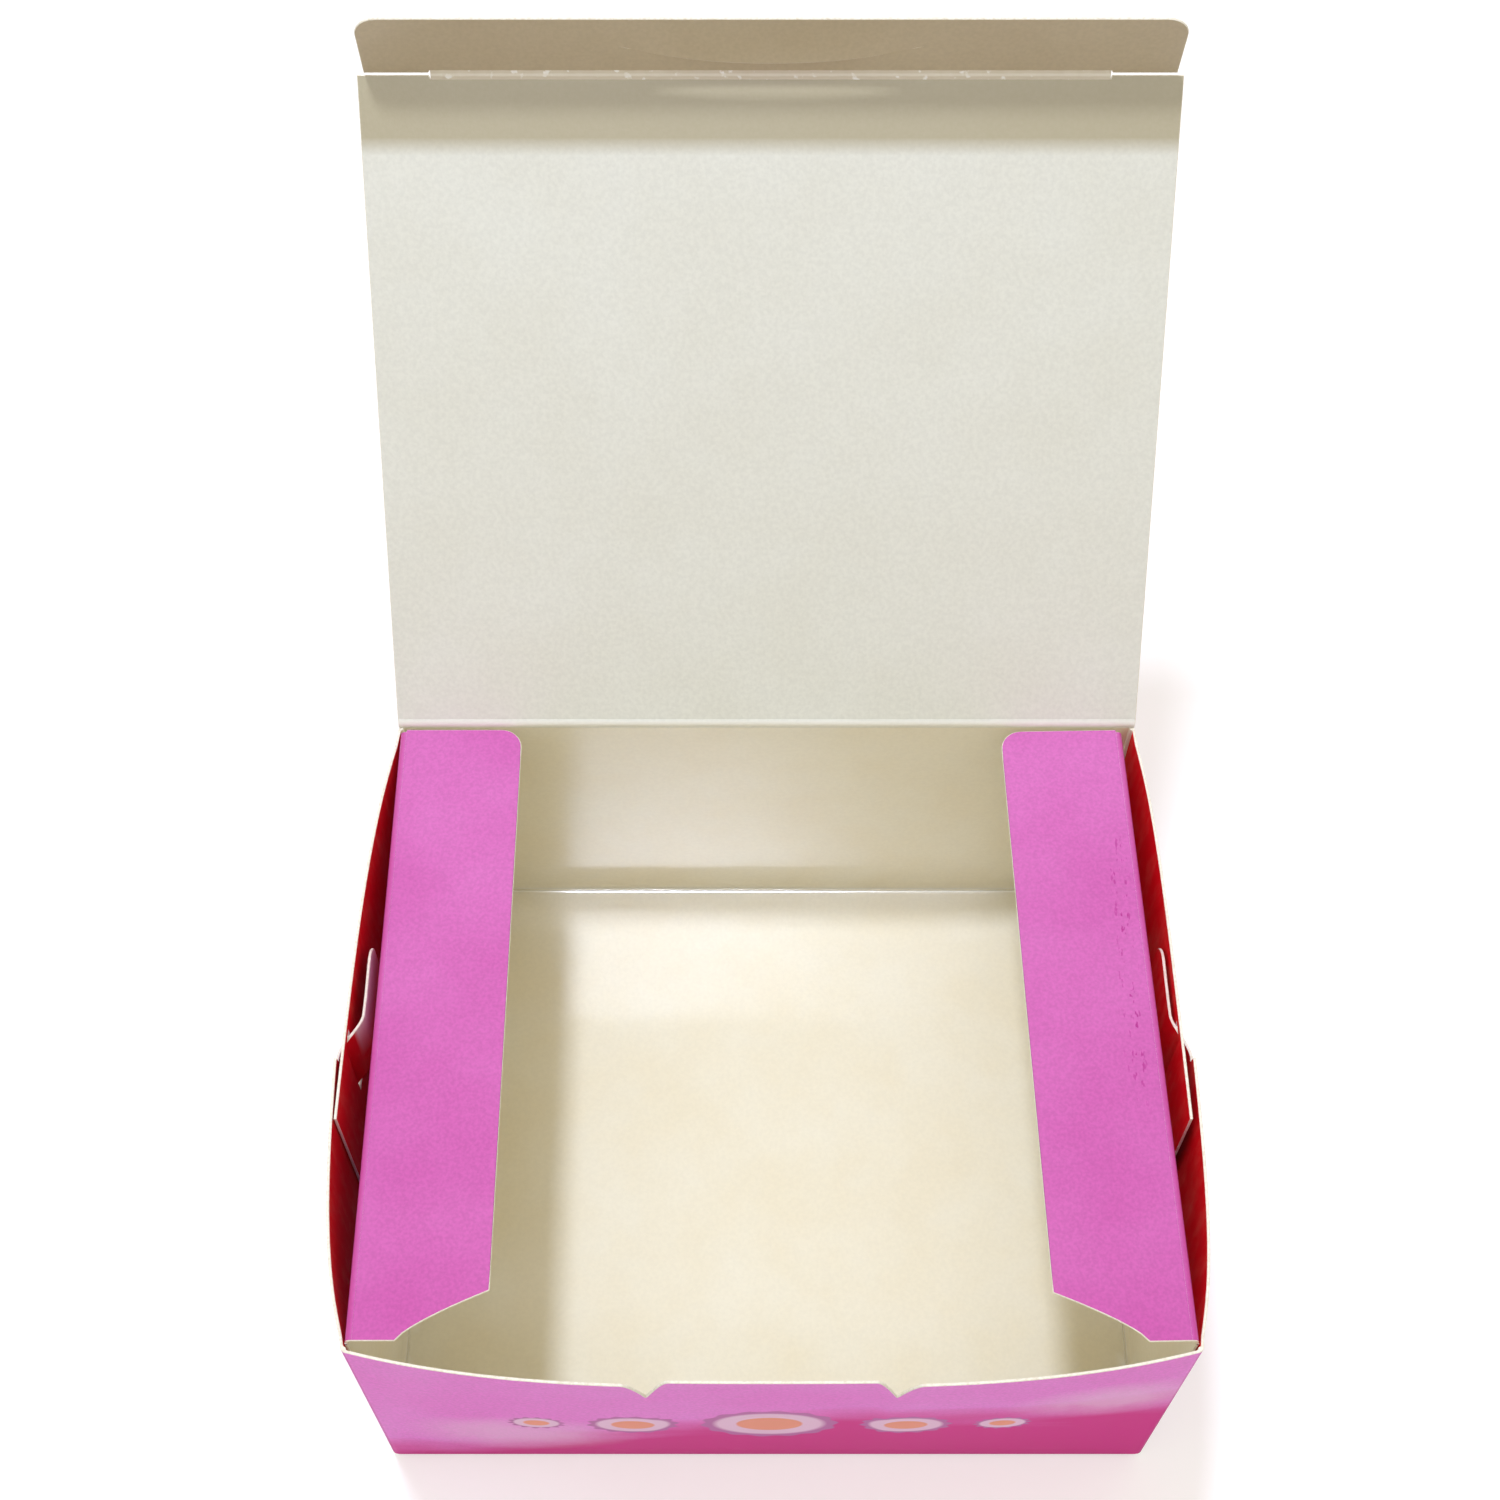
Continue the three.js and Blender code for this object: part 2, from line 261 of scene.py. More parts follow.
def fibre_bump(add, coords, strength, grain=2600):
    """Fine paper fibres as bump, with a slower waviness of the board under it."""
    fibres = noise(add, coords, grain, 2, 0.65)
    sum_up = add("ShaderNodeMath", {0: fibres, 1: noise(add, coords, 60)}, operation="ADD").outputs[0]
    return add("ShaderNodeBump", {"Strength": strength, "Distance": bump_depth, "Height": sum_up}).outputs[0]


def cream_board(name, colour, warm, grain_floor, bump, coat, speck_share=0.5, wear_and_painted_light=None):
    """Inner face of the board: warm white, faintly mottled and grained, with a few dark specks."""
    material, tree, shader, add = shader_tree(name)
    coords = add("ShaderNodeTexCoord").outputs["Object"]
    cloud = noise(add, coords, 45, 3, 0.6)
    tone = colour_mix(add, stretch(add, cloud, 0.35, 0.65), colour, warm)
    grain = noise(add, coords, 1300, 1)
    tone = darkened(add, tone, stretch(add, grain, 0.3, 0.7, grain_floor, 1.0))
    dark_fibres = specks(add, coords, 48, 0.010, 0.022, (0.80, 0.82, 0.0, speck_share))
    tone = colour_mix(add, dark_fibres, tone, (0.16, 0.10, 0.06, 1))
    # Painted shade handed in by the caller, such as the lid's painted tuck shadow.
    if wear_and_painted_light:
        tone = wear_and_painted_light(add, coords, tone)
    # Whiter along the folds: partly the coating worn on the pressed ridge, partly a painted highlight along it.
    creased = add("ShaderNodeAttribute", attribute_name="crease").outputs["Fac"]
    tone = colour_mix(add, stretch(add, creased, 0.3, 1.0, 0.0, 0.8), tone, (0.96, 0.95, 0.90, 1))
    tree.links.new(tone, shader.inputs["Base Color"])
    tree.links.new(fibre_bump(add, coords, bump), shader.inputs["Normal"])
    brushed = add("ShaderNodeMapping", {"Vector": coords, "Scale": (1, 0.4, 1)}).outputs[0]
    brushed = noise(add, brushed, 520, 2)
    brushed = add("ShaderNodeBump", {"Strength": 0.3, "Distance": bump_depth, "Height": brushed}).outputs[0]
    tree.links.new(brushed, shader.inputs["Coat Normal"])
    shader.inputs["Roughness"].default_value = 0.5
    shader.inputs["Coat Weight"].default_value = coat
    shader.inputs["Coat Roughness"].default_value = 0.12
    return material


def raw_edge(name):
    """The board's cut edge: bare white pulp with short darker fibres along the cut."""
    material, tree, shader, add = shader_tree(name)
    coords = add("ShaderNodeTexCoord").outputs["Object"]
    fibres = stretch(add, noise(add, coords, 1800, 4), 0.4, 0.75)
    tone = colour_mix(add, fibres, (0.90, 0.87, 0.78, 1), (0.76, 0.70, 0.58, 1))
    tree.links.new(tone, shader.inputs["Base Color"])
    tree.links.new(fibre_bump(add, coords, 0.5), shader.inputs["Normal"])
    shader.inputs["Roughness"].default_value = 0.85
    return material


def pink_print(name, light, deep, decorate=None, gloss=0.22, coat=0.3):
    """Pink print: two shades clouded together, with painted shade deepening it towards the front, darker along
    creases, with fine pressing marks.
    """
    material, tree, shader, add = shader_tree(name)
    coords = add("ShaderNodeTexCoord").outputs["Object"]
    along = add("ShaderNodeSeparateXYZ", {0: coords}).outputs[1]
    # Painted shade: the print deepens towards the front end of the flaps.
    painted_shade_frontwards = stretch(add, along, 50 * mm, -58 * mm, -0.12, 0.14)
    cloud = noise(add, coords, 30, 3, 0.6)
    cloud = add("ShaderNodeMath", {0: painted_shade_frontwards, 1: cloud}, operation="ADD").outputs[0]
    tone = colour_mix(add, stretch(add, cloud, 0.2, 0.8), light, deep)
    weave = noise(add, coords, 1700, 1)
    tone = darkened(add, tone, stretch(add, weave, 0.3, 0.7, 0.87, 1.0))
    if decorate:
        tone = decorate(add, coords, tone)
    creased = add("ShaderNodeAttribute", attribute_name="crease").outputs["Fac"]
    tone = colour_mix(add, stretch(add, creased, 0.1, 0.9, 0.0, 0.55), tone, (0.50, 0.03, 0.24, 1))
    tree.links.new(tone, shader.inputs["Base Color"])
    tree.links.new(fibre_bump(add, coords, 0.2, 1900), shader.inputs["Normal"])
    shader.inputs["Roughness"].default_value = 0.45
    shader.inputs["Specular IOR Level"].default_value = gloss
    shader.inputs["Coat Weight"].default_value = coat
    shader.inputs["Coat Roughness"].default_value = 0.15
    return material


def crimson_print(name):
    """Inward face of the end flaps: dark crimson, brownish and streaked where the ink lies thin, and
    rubbed pale on the left tongue."""
    material, tree, shader, add = shader_tree(name)
    coords = add("ShaderNodeTexCoord").outputs["Object"]
    stretched = add("ShaderNodeMapping", {"Vector": coords, "Scale": (1, 1, 0.25)}).outputs[0]
    streaks = stretch(add, noise(add, stretched, 260, 5, 0.7), 0.45, 0.8)
    tone = colour_mix(add, streaks, (0.80, 0.004, 0.012, 1), (0.80, 0.10, 0.07, 1))
    place = add("ShaderNodeSeparateXYZ", {0: coords})
    # Rubbed where the left tongue stands clear of the slit: its limits across, along and upwards.
    wear_and_painted_light = stretch(add, place.outputs[0], -73.7 * mm, -73.2 * mm)
    for axis, low, high in ((0, -60, -62), (1, -9, -5), (1, 18, 17), (2, 52, 62)):
        wear_and_painted_light = times(add, wear_and_painted_light, stretch(add, place.outputs[axis], low * mm, high * mm))
    tone = colour_mix(add, wear_and_painted_light, tone, (0.86, 0.80, 0.70, 1))
    tree.links.new(tone, shader.inputs["Base Color"])
    tree.links.new(fibre_bump(add, coords, 0.2), shader.inputs["Normal"])
    shader.inputs["Roughness"].default_value = 0.6
    shader.inputs["Specular IOR Level"].default_value = 0.08
    return material


def front_print_and_painted_glare(add, coords, tone):
    """The front wall's print and painted glare: the print's own deep magenta shows towards the foot, rising to
    the right, under a paler wall of painted glare; a paler patch of painted glare on either side; and a row of
    pale scalloped dots."""
    place = add("ShaderNodeSeparateXYZ", {0: coords})
    x, y, z = (place.outputs[axis] for axis in range(3))
    on_front = stretch(add, y, front_face + 3 * mm, front_face + 1 * mm)
    streaked = add("ShaderNodeMapping", {"Vector": coords, "Scale": (1, 1, 3)}).outputs[0]
    sway = noise(add, streaked, 30, 4)
    level = add("ShaderNodeMath", {0: sway, 1: 22 * mm, 2: z}, operation="MULTIPLY_ADD").outputs[0]
    slant = stretch(add, x, -60 * mm, 12 * mm, 30 * mm, 0)
    level = add("ShaderNodeMath", {0: level, 1: slant}, operation="ADD").outputs[0]
    # The print's own deep magenta shows below this level; the paler wall above it is painted glare.
    deep_print_below_painted_glare = times(add, stretch(add, level, 40 * mm, 57 * mm, 0.97, 0.0), on_front)
    tone = colour_mix(add, deep_print_below_painted_glare, tone, (0.70, 0.001, 0.27, 1))
    # Painted glare: a paler, clouded patch on either side of the wall.
    wear_and_painted_light = noise(add, coords, 55, 6, 0.75)
    for across, up, reach in ((-44, 20, 24), (58, 44, 20)):
        middle = (across * mm, 0, up * mm)
        spot = add("ShaderNodeVectorMath", {0: coords, 1: middle}, operation="SUBTRACT").outputs[0]
        flat = add("ShaderNodeVectorMath", {0: spot, 1: (1, 0, 1.5)}, operation="MULTIPLY").outputs[0]
        away = add("ShaderNodeVectorMath", {0: flat}, operation="LENGTH").outputs["Value"]
        painted_glare_patch = times(add, stretch(add, away, reach * mm, 0.2 * reach * mm), wear_and_painted_light)
        painted_glare_patch = times(add, stretch(add, painted_glare_patch, 0.05, 0.5, 0.0, 0.55), on_front)
        tone = colour_mix(add, painted_glare_patch, tone, (0.96, 0.62, 0.90, 1))
    scallops = 14
    for centre, radius in ((0, 12), (-24, 8), (24, 8), (-41, 5), (41, 5)):
        across = add("ShaderNodeMath", {0: x, 1: centre * mm}, operation="SUBTRACT").outputs[0]
        above = add("ShaderNodeMath", {0: z, 1: 30 * mm}, operation="SUBTRACT").outputs[0]
        angle = add("ShaderNodeMath", {0: above, 1: across}, operation="ARCTAN2").outputs[0]
        waves = add("ShaderNodeMath", {0: times(add, angle, scallops)}, operation="SINE").outputs[0]
        spot = add("ShaderNodeCombineXYZ", {0: across, 2: above}).outputs[0]
        away = add("ShaderNodeVectorMath", {0: spot}, operation="LENGTH").outputs["Value"]
        rim = add("ShaderNodeMath", {0: waves, 1: -0.4 * mm, 2: away}, operation="MULTIPLY_ADD").outputs[0]
        inside = times(add, stretch(add, rim, radius * mm, (radius - 0.5) * mm), on_front)
        ring = stretch(add, away, 0.85 * radius * mm, 0.75 * radius * mm)
        heart = stretch(add, away, 0.5 * radius * mm, (0.5 * radius - 0.4) * mm)
        fill = colour_mix(add, ring, (0.55, 0.16, 0.46, 1), (0.92, 0.62, 0.86, 1))
        fill = colour_mix(add, heart, fill, (0.95, 0.36, 0.25, 1))
        tone = colour_mix(add, inside, tone, fill)
    return tone


def scuffs(add, coords, tone):
    """Scuffs of the dust flaps' print: short dark nicks along the right crease, and a few spots."""
    place = add("ShaderNodeSeparateXYZ", {0: coords})
    nicks = add("ShaderNodeMapping", {"Vector": coords, "Scale": (1, 0.35, 1)}).outputs[0]
    nicks = stretch(add, noise(add, nicks, 1500, 2), 0.60, 0.66)
    for axis, low, high in ((0, 61.5, 64), (0, 66.5, 65), (1, -22, -10), (1, 42, 30)):
        nicks = times(add, nicks, stretch(add, place.outputs[axis], low * mm, high * mm))
    tone = colour_mix(add, nicks, tone, (0.42, 0.03, 0.26, 1))
    spots = specks(add, coords, 40, 0.012, 0.024, (0.86, 0.87))
    return colour_mix(add, spots, tone, (0.30, 0.01, 0.12, 1))


print_pink = pink_print("rose_print", (0.645, 0.155, 0.50, 1), (0.565, 0.09, 0.40, 1), scuffs)
# The front wall's pale base colours are painted glare over its deep magenta print.
print_front_painted_glare = pink_print(
    "rose_print_front", (0.97, 0.33, 0.91, 1), (0.95, 0.24, 0.82, 1), front_print_and_painted_glare, gloss=0.05, coat=0.02,
)
cream_inside = cream_board(
    "cream_inside", (0.86, 0.815, 0.675, 1), (0.845, 0.78, 0.61, 1), grain_floor=0.965, bump=0.2, coat=0.8,
)
cut_edge = raw_edge("cut_edge")
crimson_inside = crimson_print("crimson_inside")


def notch_cut(x):
    """How deep the lock notches cut the front wall's top edge: a narrow V with hollow sides."""
    away = np.abs(np.abs(x) - notch_centre) / notch_half_width
    return notch_depth * np.clip(1 - away, 0, 1) ** 1.8


def front_wall_point(x, z):
    """The front wall's middle surface, bowed forward towards its top, with its centre tab set back."""
    across = 1 - abs(x / (box_width / 2)) ** 3
    tab = 1 - smooth(abs(x), notch_centre - notch_half_width, notch_centre)
    rise = max(0.0, (z - board) / (front_top - board)) ** 1.2
    return Vector((x, -wall_mid_y - (front_bow * across - centre_tab_inset * tab) * rise, z))


def spring(side, which, along):
    """How far an end flap has sprung away from the side wall at a distance past its corner."""
    reach, run = side[which]
    return reach * (1 - np.exp(-max(0.0, along) / run))


def tongue_outward(side, along):
    """How far the front end flap stands off, dipping to its tongue, which lies in the slit."""
    outside = spring(side, "front", min(along, front_flap_length))
    dip = smooth(along, front_flap_length, front_flap_length + tongue_bend)
    return outside + (side["tongue"] - outside) * dip


def arc(share):
    """Where a quarter fold has got to, as (along the first panel, along the second)."""
    turn = share * math.pi / 2
    return fold_radius * math.sin(turn), fold_radius * (1 - math.cos(turn))


def fold_bead(share):
    """How far the pressed ridge stands up inside a fold: full on both sides, low along the middle."""
    return 0.15 + 0.85 * math.cos(math.pi * share) ** 2


def foot_bead(share):
    """The same ridge on a wall just above its fold, where it runs out."""
    return 1 if share < 1e-6 else 0.45 if share < 1.5 * bead_share else 0


notch_edge = (notch_centre - notch_half_width, notch_centre + notch_half_width)
inner_half = side_mid - fold_radius
wall_half = front_half - fold_radius
right_x = np.concatenate([
    np.linspace(0, notch_edge[0], 9),
    np.linspace(*notch_edge, 37)[1:],
    np.linspace(notch_edge[1], wall_half, 17)[1:],
])
wall_x = np.concatenate([-right_x[:0:-1], right_x])
fold_shares = np.linspace(0, 1, fold_steps + 1)
fold_z = half_board + fold_radius
bead_share = bead_reach / (lid_crease_z - board)
front_shares = 1 - np.concatenate([np.linspace(0, 1, 19)[:-1], [1 - bead_share, 1.0]])
slit_low = (tongue_top - tongue_height - slit_play - foot_at_slit) / (flap_top - foot_at_slit)
slit_high = (tongue_top + slit_play - foot_at_slit) / (flap_top - foot_at_slit)
back_shares = np.concatenate([
    [0, bead_share], np.linspace(0, slit_low, 10)[1:], np.linspace(slit_low, slit_high, 5)[1:], [1.0],
])
back_top = lid_crease_z - crease_reach
bottom_y = np.concatenate([
    [-wall_mid_y + fold_radius], np.linspace(-side_end, side_end, 25), [wall_mid_y - fold_radius],
])

tray_sheet = bmesh.new()
long_strip, long_crease = [], []
for x in wall_x:
    column, creases = [], []
    for share in front_shares:
        top = front_top - notch_cut(x)
        column.append(front_wall_point(x, fold_z + share * (top - fold_z)))
        creases.append(foot_bead(share))
    for share in fold_shares[1:-1]:
        out, up = arc(1 - share)
        width = 1 + (inner_half / wall_half - 1) * share
        column.append(Vector((x * width, -wall_mid_y + fold_radius - out, half_board + up)))
        creases.append(fold_bead(share))
    for y in bottom_y:
        column.append(Vector((x * inner_half / wall_half, y, half_board)))
        creases.append(1 if y in (bottom_y[0], bottom_y[-1]) else 0)
    for share in fold_shares[1:-1]:
        out, up = arc(share)
        width = 1 + (inner_half / wall_half - 1) * (1 - share)
        column.append(Vector((x * width, wall_mid_y - fold_radius + out, half_board + up)))
        creases.append(fold_bead(share))
    for share in back_shares:
        column.append(Vector((x, wall_mid_y, fold_z + share * (back_top - fold_z))))
        creases.append(foot_bead(share))
    long_strip.append(column)
    long_crease.append(creases)
long_rows = len(long_strip[0])
add_grid(tray_sheet, long_strip, lambda i, j: long_crease[i][j], joined=lambda i, j: j == long_rows - 1)


def end_flap(side, which, shares, wall_top, length, tongue=False, slit=None):
    """An end flap's grid: round the upright corner, then along the side, with its own outline."""
    sign = side["sign"]
    towards = 1 if which == "front" else -1
    corner_y = -towards * wall_mid_y
    columns, creases = [], []

    def outline(along):
        if tongue and along > front_flap_length:
            tip = front_flap_length + tongue_length
            past = max(0.0, along - (tip - tongue_corner))
            rounded = tongue_corner - math.sqrt(max(0.0, tongue_corner ** 2 - past ** 2))
            return tongue_top - tongue_height + rounded, tongue_top - rounded
        turned = smooth(along, 0, 2.5 * mm)
        low = fold_z + (0.9 * mm + 0.02 * along - fold_z) * turned
        return low, wall_top + (flap_top - wall_top) * turned

    def add_column(x, y, along, crease, bow=0):
        low, high = outline(along)
        column = []
        for share in shares:
            z = low + share * (high - low)
            bowed = (front_wall_point(wall_half, z).y + wall_mid_y) * bow
            column.append(Vector((sign * x, y + bowed, z)))
        columns.append(column)
        creases.append(crease)

    for share in fold_shares[:-1]:
        out, forward = arc(share)
        x = front_half - fold_radius + out
        bow = 1 - share if which == "front" else 0
        add_column(x, corner_y + towards * forward, forward, math.sin(math.pi * share), bow)
    stations = list(np.linspace(fold_radius, length, 27))
    if slit:
        stations = [s for s in stations if not slit[0] - 1 * mm < s < slit[1] + 1 * mm]
        stations = sorted(stations + list(np.linspace(slit[0], slit[1], 4)))
    if tongue:
        tip = length + tongue_length
        stations += list(np.linspace(length + 0.4 * mm, length + tongue_bend, 12))
        stations += list(np.linspace(length + tongue_bend, tip - tongue_corner, 4)[1:])
        rounding = np.sin(np.linspace(0, 1, 7)[1:] * math.pi / 2)
        stations += list(tip - tongue_corner + tongue_corner * rounding)
    for along in stations:
        past = along - fold_radius
        outward = tongue_outward(side, past) if which == "front" else spring(side, which, past)
        outward -= flap_root_inset * (1 - math.exp(-past / (2 * mm)))
        add_column(front_half + outward, corner_y + towards * along, along, 0)
    finish = lambda i: CREAM_INSIDE if i < fold_steps else PRINT_INSIDE
    skip = set()
    if slit:
        first = fold_steps + stations.index(slit[0])
        rows = [j for j in range(len(shares) - 1) if slit_low - 1e-6 < shares[j] < slit_high - 1e-6]
        skip = {(first + step, j) for step in range(3) for j in rows}
    add_grid(tray_sheet, columns, lambda i, j: creases[i], finish, skip)


for side in sides.values():
    end_flap(side, "front", front_shares, front_top, front_flap_length, tongue=True)
    crossing = next(
        along for along in np.arange(front_flap_length, front_flap_length + tongue_bend, 0.05 * mm)
        if tongue_outward(side, along - fold_radius)
        <= spring(side, "back", 2 * wall_mid_y - along - fold_radius)
    )
    slit_at = 2 * wall_mid_y - crossing
    slit = (slit_at - slit_width / 2, slit_at + slit_width / 2)
    end_flap(side, "back", back_shares, back_top, back_flap_length, slit=slit)

for side in sides.values():
    side_rows = np.concatenate([[0, bead_share], np.linspace(0, 1, 15)[1:]])
    side_top = dust_crease_z - crease_reach
    columns = []
    for y in bottom_y[1:-1]:
        column = []
        lean = side["lean"] * (y + side_end) / (2 * side_end)
        for share in fold_shares[:-1]:
            out, up = arc(share)
            column.append(Vector((side["sign"] * (side_mid - fold_radius + out), y, half_board + up)))
        for share in side_rows:
            z = fold_z + share * (side_top - fold_z)
            inward = lean * (z - fold_z) / (dust_crease_z - fold_z)
            column.append(Vector((side["sign"] * (side_mid - inward), y, z)))
        columns.append(column)
    crease_rows = [fold_bead(share) for share in fold_shares[:-1]]
    crease_rows += [foot_bead(share) for share in side_rows]
    add_grid(tray_sheet, columns, lambda i, j: crease_rows[j], joined=lambda i, j: j == len(crease_rows) - 1)

tray = give_thickness(
    "folded_tray", tray_sheet, (0, 0, half_board), (0, 0, -1),
    [print_front_painted_glare, cream_inside, cut_edge, print_pink, crimson_inside, cut_edge], bead_height,
)
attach(tray, "tray")
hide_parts("tray")

# The lid: one flat panel on the back wall's top crease, cream inside and printed outside. A short
# strip of scored board joins the two. It springs back to rather more than a right angle.
lid_half = 70.2 * mm
lid_length = 119.2 * mm
lid_angle = math.radians(54.4)
tuck_crease_half = 57.7 * mm
lid_along = Vector((0, math.cos(lid_angle), math.sin(lid_angle)))
lid_inward = Vector((0, -math.sin(lid_angle), math.cos(lid_angle)))
lid_crease = Vector((0, wall_mid_y, lid_crease_z))
end_slit_reach = 0.3 * mm
step_width = 0.3 * mm


def lid_point(x, along, inward=0):
    return lid_crease + Vector((x, 0, 0)) + lid_along * along + lid_inward * inward


def stepped(half_width, step_at, count):
    """Stations across a panel, with a narrow step at both ends of its scored crease."""
    middle = np.linspace(-step_at, step_at, count)
    end = np.linspace(step_at + step_width, half_width, 5)
    return np.concatenate([-end[::-1], middle, end])


lid_sheet = bmesh.new()
lid_columns = []
lid_x = stepped(lid_half, tuck_crease_half, 25)
lid_rows = 23
for x in lid_x:
    reach = crease_reach if abs(x) <= tuck_crease_half else end_slit_reach
    stations = np.linspace(crease_reach, lid_length - reach, lid_rows)
    lid_columns.append([lid_point(x, along) for along in stations])
add_grid(
    lid_sheet, lid_columns,
    joined=lambda i, j: j == 0 or (j == lid_rows - 1 and abs(lid_x[i]) <= tuck_crease_half),
)


def painted_tuck_shadow(add, coords, tone):
    """The lid's last centimetre under the tuck flap, painted duller and browner as the tuck flap's shadow."""
    height = add("ShaderNodeSeparateXYZ", {0: coords}).outputs[2]
    # Painted shadow: the band below the tuck flap's crease is mixed towards brown.
    near = stretch(add, height, 153 * mm, 155.5 * mm, 0.0, 0.75)
    return colour_mix(add, near, tone, (0.33, 0.265, 0.105, 1))


# The lid's cream is set darker and greyer than the tray's, though both are the same face of the board: painted
# shade.
lid_cream_painted_shade = cream_board(
    "cream_lid_painted_shade", (0.755, 0.765, 0.70, 1), (0.735, 0.74, 0.665, 1),
    grain_floor=0.93, bump=0.3, coat=0.12, speck_share=0.75, wear_and_painted_light=painted_tuck_shadow,
)
board_finishes = [print_pink, lid_cream_painted_shade, cut_edge]
lid = give_thickness("lid_board", lid_sheet, lid_point(0, lid_length / 2), -lid_inward, board_finishes)
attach(lid, "lid")
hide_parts("lid_panel")


def crease_strip(name, stations, first, pivot, last, finishes, outward, bead=0.1 * mm, roughness=None):
    """A strip of scored board bent over a crease, from a point on one panel to a point on the next."""
    sheet = bmesh.new()
    shares = np.linspace(0, 1, 9)
    columns = []
    for station in stations:
        a, b, c = first(station), pivot(station), last(station)
        column = [a * (1 - s) ** 2 + b * 2 * s * (1 - s) + c * s ** 2 for s in shares]
        if roughness:
            column = [p + roughness(station, s) for p, s in zip(column, shares)]
        columns.append(column)
    add_grid(
        sheet, columns, lambda i, j: math.sin(math.pi * shares[j]),
        joined=lambda i, j: j in (0, len(shares) - 1),
    )
    middle = columns[len(columns) // 2][len(shares) // 2]
    return give_thickness(name, sheet, middle, outward, finishes, bead)


lid_strip = crease_strip(
    "lid_crease", np.linspace(-lid_half, lid_half, 41),
    lambda x: Vector((x, wall_mid_y, back_top)),
    lambda x: Vector((x, wall_mid_y, lid_crease_z)),
    lambda x: lid_point(x, crease_reach),
    board_finishes, (0, 1, 0), 0.2 * mm,
)
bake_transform(lid_strip, "tray", "lid", start=(0, wall_mid_y, back_top), end=tuple(lid_point(0, crease_reach)))

# The tuck flap: a narrow flap on the lid's far crease, with rounded corners. Slits free both ends of
# its crease, the scored middle has crinkled and lost some of its face, and a shallow curved slit
# has sprung open.
tuck_half = 69.0 * mm
tuck_depth = 14 * mm
tuck_corner = 4 * mm
tuck_angle = lid_angle + math.radians(46)
tuck_along = Vector((0, math.cos(tuck_angle), math.sin(tuck_angle)))
tuck_inward = Vector((0, -math.sin(tuck_angle), math.cos(tuck_angle)))
tuck_crease = lid_point(0, lid_length)
slit_half = 25.5 * mm
slit_ends = 7.2 * mm
slit_middle = 4.6 * mm
slit_opening = 1.6 * mm
slit_cut = 0.05 * mm


def tuck_point(x, along, inward=0):
    return tuck_crease + Vector((x, 0, 0)) + tuck_along * along + tuck_inward * inward


def tuck_end(x):
    past = max(0.0, abs(x) - (tuck_half - tuck_corner))
    return tuck_depth - tuck_corner + math.sqrt(max(0.0, tuck_corner ** 2 - past ** 2))


def slit_height(x):
    share = min(1.0, abs(x) / slit_half)
    return slit_middle + (slit_ends - slit_middle) * share ** 2.4


tuck_sheet = bmesh.new()
corner_x = tuck_half - tuck_corner * (1 - np.sin(np.linspace(0, 1, 7) * math.pi / 2))
outer_x = np.concatenate([[tuck_crease_half + step_width, 62 * mm], corner_x])
middle_x = np.linspace(slit_half, tuck_crease_half, 9)
slit_x = np.linspace(-slit_half, slit_half, 41)
for stretch_x in (-outer_x[::-1], -middle_x[::-1], middle_x, outer_x):
    reach = crease_reach if max(abs(stretch_x)) <= tuck_crease_half else end_slit_reach
    columns = []
    for x in stretch_x:
        lower = np.linspace(reach, slit_height(x), 5)
        upper = np.linspace(slit_height(x), tuck_end(x), 9)[1:]
        columns.append([tuck_point(x, along) for along in np.concatenate([lower, upper])])
    add_grid(tuck_sheet, columns, joined=lambda i, j: j == 0 and reach == crease_reach)
for sign in (-1, 1):
    step = []
    for x, reach in ((tuck_crease_half, crease_reach), (tuck_crease_half + step_width, end_slit_reach)):
        lower = np.linspace(reach, slit_height(x), 5)
        upper = np.linspace(slit_height(x), tuck_end(x), 9)[1:]
        step.append([tuck_point(sign * x, along) for along in np.concatenate([lower, upper])])
    add_grid(tuck_sheet, step, joined=lambda i, j: i == 0 and j == 0)
below = [[tuck_point(x, along) for along in np.linspace(crease_reach, slit_height(x), 5)] for x in slit_x]
add_grid(tuck_sheet, below, joined=lambda i, j: j == 0)
above = []
for x in slit_x:
    opened = slit_opening * (1 - (abs(x) / slit_half) ** 2)
    column = []
    for share in np.linspace(0, 1, 9):
        along = slit_height(x) + share * (tuck_depth - slit_height(x))
        parted = abs(x) < slit_half - 0.1 * mm
        lift = max(opened * (1 - share) ** 2, 0.02 * mm if parted and share == 0 else 0)
        column.append(tuck_point(x, along + slit_cut * (1 - share) * parted, lift))
    above.append(column)
add_grid(tuck_sheet, above)
# The tuck flap's cream is set far darker and browner than the lid's, though it is the same board: painted
# shade.
tuck_cream_painted_shade = cream_board(
    "cream_tuck_painted_shade", (0.565, 0.48, 0.33, 1), (0.53, 0.445, 0.295, 1), grain_floor=0.93, bump=0.3, coat=0.1,
)
tuck = give_thickness(
    "tuck_board", tuck_sheet, tuck_point(40 * mm, tuck_depth / 2), -tuck_inward,
    [print_pink, tuck_cream_painted_shade, cut_edge],
)
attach(tuck, "tuck")
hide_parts("tuck_flap")


def crinkle(x, share):
    """Uneven ridges where the scored middle of the tuck flap's crease has given way."""
    ridges = math.sin(x / mm * 1.9) + 0.7 * math.sin(x / mm * 4.3 + 1.2) + 0.5 * math.sin(x / mm * 0.7 + 2.1)
    return lid_inward * (0.09 * mm * (ridges + 1.4) * math.sin(math.pi * share))


torn_board, torn_tree, torn_shader, torn_add = shader_tree("torn_crease")
torn_coords = torn_add("ShaderNodeTexCoord").outputs["Object"]
torn_patches = stretch(torn_add, noise(torn_add, torn_coords, 520, 4), 0.60, 0.66)
torn_tone = colour_mix(torn_add, torn_patches, (0.72, 0.66, 0.54, 1), (0.96, 0.95, 0.92, 1))
